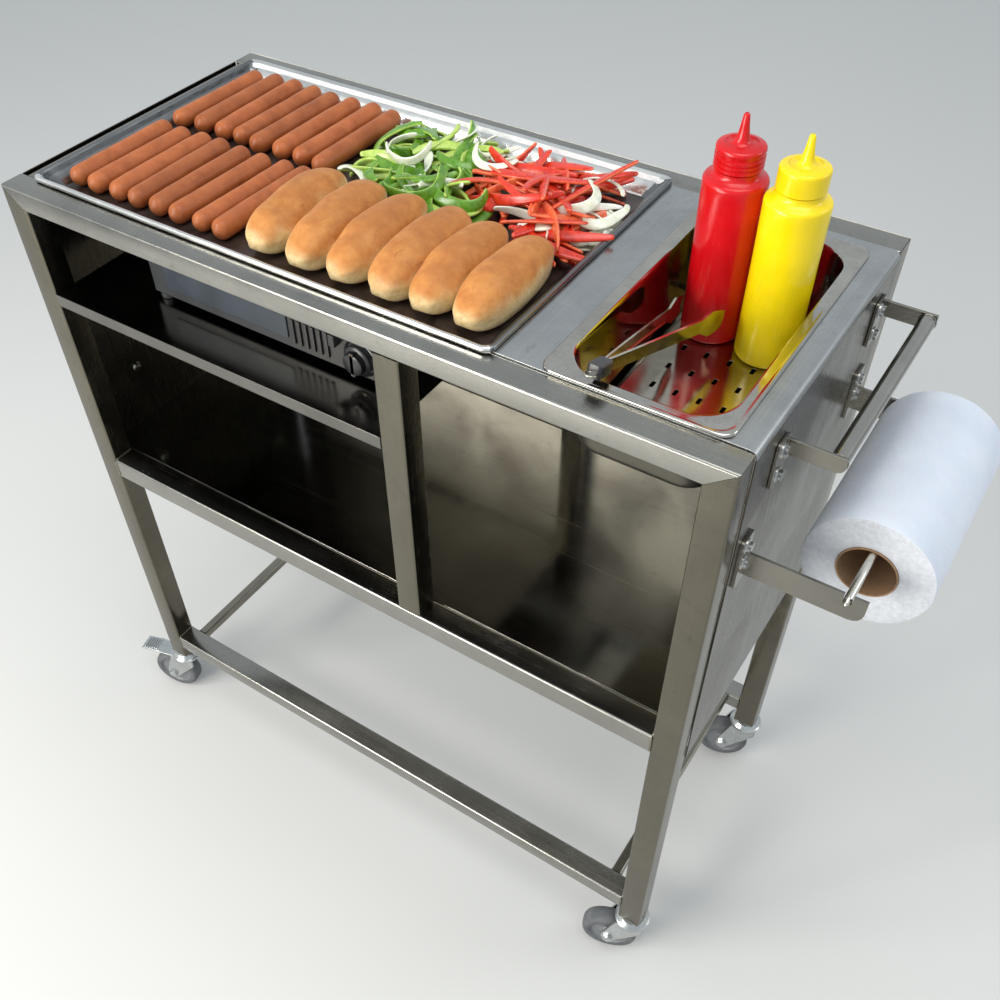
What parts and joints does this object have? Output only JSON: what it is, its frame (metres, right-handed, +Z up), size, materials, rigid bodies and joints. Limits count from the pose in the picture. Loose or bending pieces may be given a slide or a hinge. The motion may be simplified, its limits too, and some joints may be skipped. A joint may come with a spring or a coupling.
{
  "type": "hot dog cart",
  "caption": "Wheeled steel hot dog cart with a lift-out griddle tray of food, a sauce pan with bottles and tongs, shelves, a gas stove, a push handle and a paper roll holder.",
  "frame": {"origin": "centre of the underside of the bounding box, on the floor under the casters", "axes": "+X along the cart from the griddle end to the paper roll end, +Y from the open front to the back panel, +Z up"},
  "size_m": [1.075, 0.4252, 1.0498],
  "materials": {
    "frame_steel": "satin ground square tube with soft long grain",
    "sheet_steel": "satin sheet with rolled grain and rubbed edges",
    "shelf_steel": "near mirror sheet with scuffs",
    "handle_steel": "polished bar and bent flat bar",
    "bolt_zinc": "bright plated",
    "pan_steel": "pressed bright steel with water marks",
    "griddle_steel": "dark seasoned floor with a bright rim",
    "roll_paper": "soft matt tissue with a brown board core",
    "red_plastic": "smooth squeeze plastic",
    "yellow_plastic": "smooth squeeze plastic",
    "tongs_steel": "bright strip steel",
    "sausage_skin": "smooth moist cooked skin",
    "bread": "baked crust, brown on top and pale at the sides",
    "vegetable": "wet sliced peppers and onion",
    "stove_enamel": "dark enamel with light scuffs",
    "black_plastic": "moulded knob",
    "wheel_tread": "dusty grey moulded tread",
    "caster_zinc": "dull zinc plated pressings"
  },
  "bodies": {
    "cart": {"leg_front_left": "frame_steel", "leg_front_right": "frame_steel", "top_rail_front": "frame_steel", "centre_post_front": "frame_steel", "shelf_rail_front": "frame_steel", "stretcher_front": "frame_steel", "leg_rear_left": "frame_steel", "leg_rear_right": "frame_steel", "top_rail_rear": "frame_steel", "centre_post_rear": "frame_steel", "shelf_rail_rear": "frame_steel", "stretcher_rear": "frame_steel", "top_rail_left": "frame_steel", "base_tie_left": "frame_steel", "top_rail_right": "frame_steel", "base_tie_right": "frame_steel", "worktop": "sheet_steel", "side_panel_right": "sheet_steel", "side_panel_left": "sheet_steel", "back_panel": "sheet_steel", "lower_shelf": "shelf_steel", "middle_shelf": "shelf_steel", "handle_bracket_front": "handle_steel", "handle_bolts_front": "bolt_zinc", "handle_bracket_rear": "handle_steel", "handle_bolts_rear": "bolt_zinc", "roll_bracket_front": "handle_steel", "roll_bolts_front": "bolt_zinc", "roll_bracket_rear": "handle_steel", "roll_bolts_rear": "bolt_zinc", "handle_grip": "handle_steel", "caster_stem_front_left": "caster_zinc", "caster_stem_front_right": "caster_zinc", "caster_stem_rear_left": "caster_zinc", "caster_stem_rear_right": "caster_zinc"},
    "tray": {"griddle_tray": "griddle_steel", "sausages_front": "sausage_skin", "sausages_rear": "sausage_skin", "buns": "bread", "sliced_vegetables": "vegetable"},
    "pan": {"steam_pan": "pan_steel"},
    "drain_plate": {"drain_plate": "pan_steel"},
    "ketchup": {"ketchup_bottle": "red_plastic"},
    "ketchup_cap": {"ketchup_cap": "red_plastic"},
    "mustard": {"mustard_bottle": "yellow_plastic"},
    "mustard_cap": {"mustard_cap": "yellow_plastic"},
    "tongs": {"tongs": "tongs_steel"},
    "stove": {"stove_body": "stove_enamel"},
    "stove_knob": {"stove_knob": "black_plastic"},
    "roll_rod": {"roll_rod": "bolt_zinc"},
    "paper_roll": {"paper_roll": "roll_paper"},
    "swivel_front_left": {"caster_fork_front_left": "caster_zinc"},
    "wheel_front_left": {"caster_wheel_front_left": "wheel_tread"},
    "swivel_front_right": {"caster_fork_front_right": "caster_zinc"},
    "wheel_front_right": {"caster_wheel_front_right": "wheel_tread"},
    "swivel_rear_left": {"caster_fork_rear_left": "caster_zinc"},
    "wheel_rear_left": {"caster_wheel_rear_left": "wheel_tread"},
    "swivel_rear_right": {"caster_fork_rear_right": "caster_zinc"},
    "wheel_rear_right": {"caster_wheel_rear_right": "wheel_tread"},
    "brake_pedal": {"brake_pedal_front_left": "caster_zinc"}
  },
  "joints": [
    {"name": "tray_lift", "type": "slide", "parent": "cart", "child": "tray", "axis": [0, 0, 1], "range_m": [0, 0.06]},
    {"name": "pan_lift", "type": "slide", "parent": "cart", "child": "pan", "axis": [0, 0, 1], "range_m": [0, 0.12]},
    {"name": "drain_plate_lift", "type": "slide", "parent": "pan", "child": "drain_plate", "axis": [0, 0, 1], "range_m": [0, 0.03]},
    {"name": "ketchup_lift", "type": "slide", "parent": "drain_plate", "child": "ketchup", "axis": [0, 0, 1], "range_m": [0, 0.2]},
    {"name": "mustard_lift", "type": "slide", "parent": "drain_plate", "child": "mustard", "axis": [0, 0, 1], "range_m": [0, 0.2]},
    {"name": "tongs_lift", "type": "slide", "parent": "pan", "child": "tongs", "axis": [0, 0, 1], "range_m": [0, 0.15]},
    {"name": "stove_slide", "type": "slide", "parent": "cart", "child": "stove", "axis": [0, -1, 0], "range_m": [0, 0.2]},
    {"name": "roll_rod_lift", "type": "slide", "parent": "cart", "child": "roll_rod", "axis": [0, 0, 1], "range_m": [0, 0.03]},
    {"name": "ketchup_cap_turn", "type": "hinge", "parent": "ketchup", "child": "ketchup_cap", "pos_m": [0.241, 0.073, 1.0258], "axis": [0, 0, 1], "range_deg": [0, 360]},
    {"name": "mustard_cap_turn", "type": "hinge", "parent": "mustard", "child": "mustard_cap", "pos_m": [0.3028, 0.0646, 1.0258], "axis": [0, 0, 1], "range_deg": [0, 360]},
    {"name": "knob_turn", "type": "hinge", "parent": "stove", "child": "stove_knob", "pos_m": [-0.0407, -0.1437, 0.8138], "axis": [0, 1, 0], "range_deg": [-110, 0]},
    {"name": "roll_spin", "type": "hinge", "parent": "roll_rod", "child": "paper_roll", "pos_m": [0.4755, 0.0366, 0.7383], "axis": [0, 1, 0], "continuous": true},
    {"name": "swivel_front_left_turn", "type": "hinge", "parent": "cart", "child": "swivel_front_left", "pos_m": [-0.4557, -0.1804, 0.088], "axis": [0, 0, 1], "continuous": true},
    {"name": "wheel_front_left_spin", "type": "hinge", "parent": "swivel_front_left", "child": "wheel_front_left", "pos_m": [-0.4819, -0.18693, 0.0375], "axis": [-0.2419, 0.9703, 0], "continuous": true},
    {"name": "brake_pedal_press", "type": "hinge", "parent": "swivel_front_left", "child": "brake_pedal", "pos_m": [-0.47511, -0.18524, 0.0808], "axis": [-0.2419, 0.9703, 0], "range_deg": [-10, 0]},
    {"name": "swivel_front_right_turn", "type": "hinge", "parent": "cart", "child": "swivel_front_right", "pos_m": [0.3643, -0.1804, 0.088], "axis": [0, 0, 1], "continuous": true},
    {"name": "wheel_front_right_spin", "type": "hinge", "parent": "swivel_front_right", "child": "wheel_front_right", "pos_m": [0.33862, -0.18874, 0.0375], "axis": [-0.309, 0.9511, 0], "continuous": true},
    {"name": "swivel_rear_left_turn", "type": "hinge", "parent": "cart", "child": "swivel_rear_left", "pos_m": [-0.4557, 0.1896, 0.088], "axis": [0, 0, 1], "continuous": true},
    {"name": "wheel_rear_left_spin", "type": "hinge", "parent": "swivel_rear_left", "child": "wheel_rear_left", "pos_m": [-0.4819, 0.18307, 0.0375], "axis": [-0.2419, 0.9703, 0], "continuous": true},
    {"name": "swivel_rear_right_turn", "type": "hinge", "parent": "cart", "child": "swivel_rear_right", "pos_m": [0.3643, 0.1896, 0.088], "axis": [0, 0, 1], "continuous": true},
    {"name": "wheel_rear_right_spin", "type": "hinge", "parent": "swivel_rear_right", "child": "wheel_rear_right", "pos_m": [0.33862, 0.18126, 0.0375], "axis": [-0.309, 0.9511, 0], "continuous": true}
  ]
}
